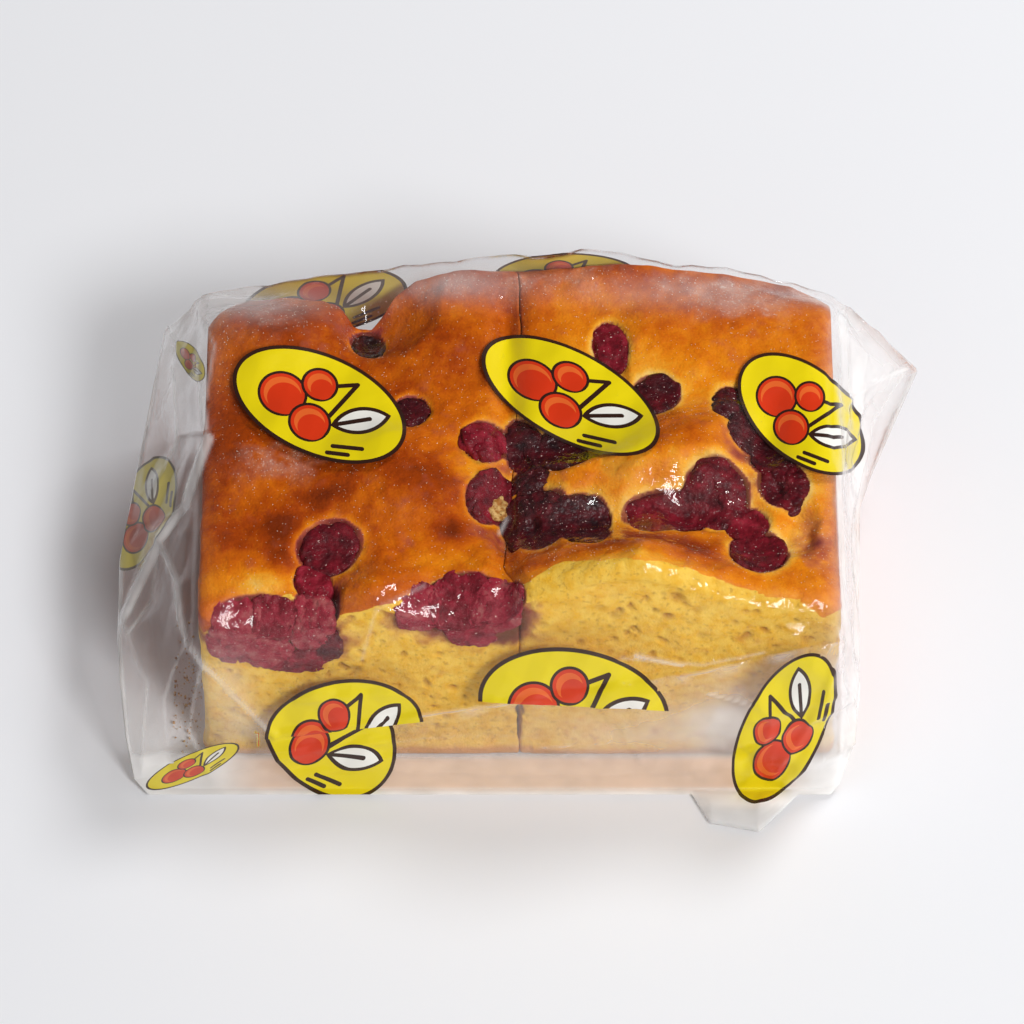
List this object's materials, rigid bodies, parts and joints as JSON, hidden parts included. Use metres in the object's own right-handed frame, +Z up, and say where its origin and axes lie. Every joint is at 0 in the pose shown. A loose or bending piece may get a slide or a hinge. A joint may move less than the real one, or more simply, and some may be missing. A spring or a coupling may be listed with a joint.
{
  "type": "bagged sour cherry pie slices",
  "caption": "Tall sponge sheet pie slices with sour cherries baked into a golden crust, side by side in a clear film bag with printed ovals.",
  "frame": {"origin": "middle of the bag's box, on the surface it lies on", "axes": "+X along the pair of slices to the right, +Y from their cut front faces to the back, +Z up"},
  "size_m": [0.1644, 0.1096, 0.058],
  "materials": {
    "wrapped_slices": "slices of golden sheet pie seen through clear shiny film",
    "film": "clear thin film, glossy, with sharp creases and a slight milky haze where it lies double",
    "crust": "baked golden brown crust, satin, uneven, darker on the humps and paler round the fruit",
    "crumb": "moist yellow sponge crumb, matte, with small brown pores",
    "cherry": "dark crimson cooked cherries, wrinkled and wet",
    "sugar": "fine pale crumbs and sugar grains"
  },
  "bodies": {
    "root": {"bag": "wrapped_slices"}
  },
  "joints": []
}
